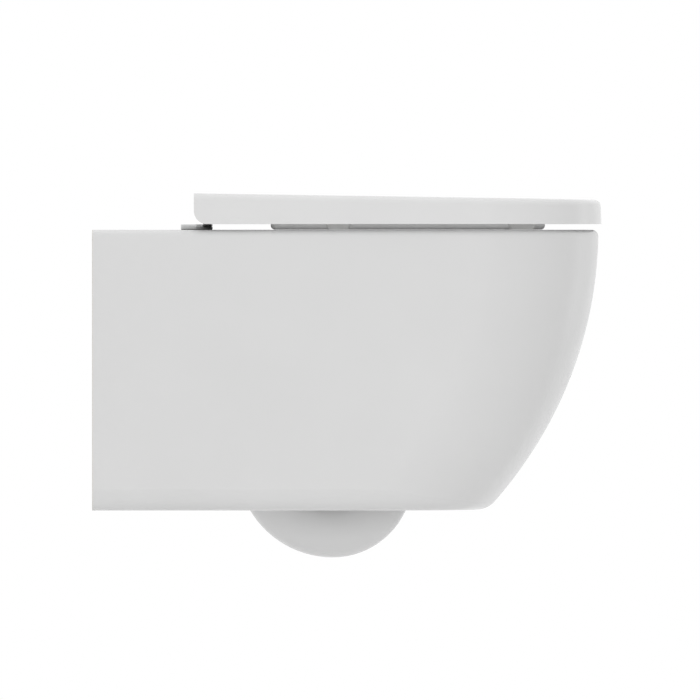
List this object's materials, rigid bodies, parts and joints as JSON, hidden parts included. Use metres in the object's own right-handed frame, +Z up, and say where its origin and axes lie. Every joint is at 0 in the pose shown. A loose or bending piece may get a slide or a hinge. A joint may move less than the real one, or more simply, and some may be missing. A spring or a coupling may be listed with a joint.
{
  "type": "wall hung toilet",
  "caption": "Wall hung toilet: vitreous china pan with trap and horizontal outlet, wrap-over lid and seat ring on lift-off hinges.",
  "frame": {"origin": "on the wall plane, midway between the two wall fixing holes", "axes": "+Z up, +Y into the wall, so the toilet stands in front of the wall along -Y; X across"},
  "size_m": [0.3666, 0.5433, 0.3892],
  "materials": {
    "vitreous_china": "gloss",
    "seat_plastic": "gloss",
    "buffer_rubber": "satin",
    "gasket_rubber": "matte",
    "chrome": "polished",
    "stainless": "satin",
    "white_plastic": "satin",
    "hinge_plastic": "satin"
  },
  "bodies": {
    "pan": {"pan_shell": "vitreous_china", "pan_bowl": "vitreous_china", "pan_trap": "vitreous_china", "pan_back": "vitreous_china", "flush_insert": "white_plastic", "wall_fixing_sleeve_left": "white_plastic", "wall_fixing_washer_left": "stainless", "wall_fixing_nut_left": "stainless", "base_gasket_left": "gasket_rubber", "hinge_base_left": "chrome", "fixing_screw_left": "stainless", "anchor_sleeve_left": "gasket_rubber", "anchor_washer_left": "stainless", "anchor_nut_left": "stainless", "wall_fixing_sleeve_right": "white_plastic", "wall_fixing_washer_right": "stainless", "wall_fixing_nut_right": "stainless", "base_gasket_right": "gasket_rubber", "hinge_base_right": "chrome", "fixing_screw_right": "stainless", "anchor_sleeve_right": "gasket_rubber", "anchor_washer_right": "stainless", "anchor_nut_right": "stainless"},
    "hinge_carrier": {"hinge_post_left": "chrome", "hinge_pin_left": "stainless", "hinge_post_right": "chrome", "hinge_pin_right": "stainless"},
    "seat": {"seat_ring": "seat_plastic", "seat_buffer_front_left": "buffer_rubber", "seat_buffer_rear_left": "buffer_rubber", "seat_bush_left": "hinge_plastic", "seat_damper_left": "hinge_plastic", "seat_buffer_front_right": "buffer_rubber", "seat_buffer_rear_right": "buffer_rubber", "seat_bush_right": "hinge_plastic", "seat_damper_right": "hinge_plastic"},
    "lid": {"seat_lid": "seat_plastic", "lid_buffer_front_left": "buffer_rubber", "lid_buffer_rear_left": "buffer_rubber", "lid_bush_left": "hinge_plastic", "lid_damper_left": "hinge_plastic", "lid_buffer_front_right": "buffer_rubber", "lid_buffer_rear_right": "buffer_rubber", "lid_bush_right": "hinge_plastic", "lid_damper_right": "hinge_plastic"},
    "button_left": {"release_button_left": "chrome"},
    "button_right": {"release_button_right": "chrome"}
  },
  "joints": [
    {"name": "lift_off", "type": "slide", "parent": "pan", "child": "hinge_carrier", "axis": [0, 0, 1], "range_m": [0, 0.045]},
    {"name": "seat_hinge", "type": "hinge", "parent": "hinge_carrier", "child": "seat", "pos_m": [0, -0.1222, 0.1], "axis": [-1, 0, 0], "range_deg": [0, 97]},
    {"name": "lid_hinge", "type": "hinge", "parent": "seat", "child": "lid", "pos_m": [0, -0.1222, 0.1], "axis": [1, 0, 0], "range_deg": [-97, 0]},
    {"name": "release_left", "type": "slide", "parent": "hinge_carrier", "child": "button_left", "axis": [0, -1, 0], "range_m": [0, 0.0016], "stiffness_N_per_m": 800, "springref_m": -0.001},
    {"name": "release_right", "type": "slide", "parent": "hinge_carrier", "child": "button_right", "axis": [0, -1, 0], "range_m": [0, 0.0016], "stiffness_N_per_m": 800, "springref_m": -0.001}
  ]
}
